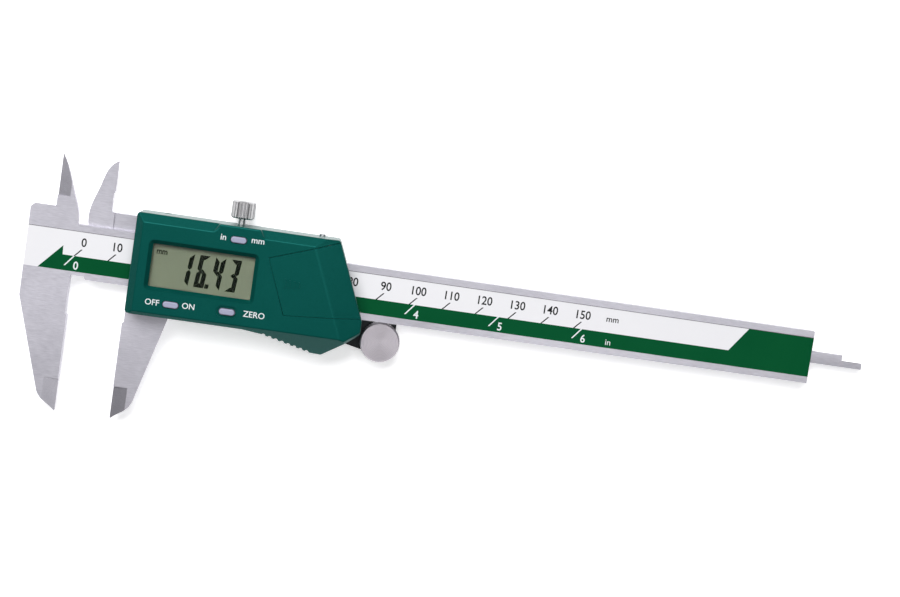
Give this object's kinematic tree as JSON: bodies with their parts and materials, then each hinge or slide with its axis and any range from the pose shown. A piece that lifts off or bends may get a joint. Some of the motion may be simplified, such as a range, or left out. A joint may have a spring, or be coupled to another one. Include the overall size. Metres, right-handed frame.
{
  "type": "digital caliper",
  "caption": "Hand caliper with outside and inside jaws, depth bar, sliding electronic display head with keys, lock screw, thumb roller and battery cover.",
  "frame": {"origin": "centre of the fixed outside jaw's flat measuring face, in the middle of the beam's thickness", "axes": "+X along the beam, the way the jaws open; +Y from the outside jaws towards the inside jaws; +Z out of the display. The caliper lies on the slider's back."},
  "size_m": [0.2538, 0.0762, 0.0156],
  "materials": {
    "ground_steel": "satin ground hardened stainless steel",
    "bright_steel": "plain bright steel",
    "knurled_steel": "knurled steel, nickel plated",
    "roller_steel": "turned steel with concentric tool marks",
    "black_metal": "blackened spring steel",
    "green_plastic": "moulded ABS, fine satin texture, deep teal green",
    "key_plastic": "pale lavender moulded keys",
    "printed_label": "white printed film with a green band and black graduations",
    "rear_label_film": "blank metallised film",
    "circuit_laminate": "glass laminate with green solder mask",
    "clear_window": "clear polished acrylic",
    "lcd_glass": "grey-olive reflective display glass",
    "white_film": "white reflector film",
    "white_plastic": "natural white moulding",
    "conductive_rubber": "layered conductive silicone",
    "black_foam": "thin black foam",
    "black_epoxy": "cast black epoxy",
    "ceramic": "sintered ceramic",
    "battery_steel": "nickel plated steel can",
    "black_plastic": "black moulding",
    "contact_plating": "gold-flashed spring bronze",
    "brass": "plain brass"
  },
  "bodies": {
    "beam": {"beam": "ground_steel", "scale_board": "circuit_laminate", "scale_label": "printed_label", "depth_guide_plate": "bright_steel", "depth_guide_screws": "bright_steel"},
    "slider": {"slider_frame": "ground_steel", "gib_strip": "brass", "gib_screws": "bright_steel", "depth_bar": "ground_steel", "depth_bar_pins": "bright_steel", "rear_label": "rear_label_film", "roller_bracket": "black_metal", "roller_bracket_screws": "bright_steel", "housing": "green_plastic", "housing_screws": "bright_steel", "display_window": "clear_window", "display_gasket": "black_foam", "lcd_panel": "lcd_glass", "lcd_reflector": "white_film", "zebra_strips": "conductive_rubber", "lcd_carrier": "white_plastic", "button_domes": "bright_steel", "circuit_board": "circuit_laminate", "board_screws": "bright_steel", "controller_chip": "black_epoxy", "crystal": "bright_steel", "capacitors": "ceramic", "battery": "battery_steel", "battery_holder": "black_plastic", "battery_contact_plus": "contact_plating", "battery_contact_minus": "contact_plating"},
    "lock_pad": {"lock_pad": "brass"},
    "lock_screw": {"lock_screw": "knurled_steel"},
    "roller": {"thumb_roller": "roller_steel", "roller_shaft": "bright_steel", "roller_clip": "black_metal"},
    "battery_cover": {"battery_cover": "green_plastic"},
    "unit_button": {"unit_button": "key_plastic"},
    "power_button": {"power_button": "key_plastic"},
    "zero_button": {"zero_button": "key_plastic"}
  },
  "joints": [
    {"name": "slider_travel", "type": "slide", "parent": "beam", "child": "slider", "axis": [1, 0, 0], "range_m": [-0.01643, 0.13757]},
    {"name": "roller_spin", "type": "hinge", "parent": "slider", "child": "roller", "pos_m": [0.0929, 0.0196, 0], "axis": [0, 0, 1], "range_deg": [-160, 1320]},
    {"name": "lock_advance", "type": "slide", "parent": "slider", "child": "lock_pad", "axis": [0, 1, 0], "range_m": [-0.00018, 0.00045]},
    {"name": "lock_turn", "type": "hinge", "parent": "lock_pad", "child": "lock_screw", "pos_m": [0.0473, 0.04565, 0], "axis": [0, 1, 0], "range_deg": [-150, 366]},
    {"name": "battery_cover_slide", "type": "slide", "parent": "slider", "child": "battery_cover", "axis": [0.9848, 0.1736, 0], "range_m": [0, 0.022]},
    {"name": "unit_button_press", "type": "slide", "parent": "slider", "child": "unit_button", "axis": [0, 0, -1], "range_m": [0, 0.0005], "stiffness_N_per_m": 600},
    {"name": "power_button_press", "type": "slide", "parent": "slider", "child": "power_button", "axis": [0, 0, -1], "range_m": [0, 0.0005], "stiffness_N_per_m": 600},
    {"name": "zero_button_press", "type": "slide", "parent": "slider", "child": "zero_button", "axis": [0, 0, -1], "range_m": [0, 0.0005], "stiffness_N_per_m": 600}
  ],
  "couplings": [
    {"joint": "roller_spin", "follows": "slider_travel", "rad_per_m": 166.67},
    {"joint": "lock_turn", "follows": "lock_advance", "rad_per_m": 13963}
  ]
}
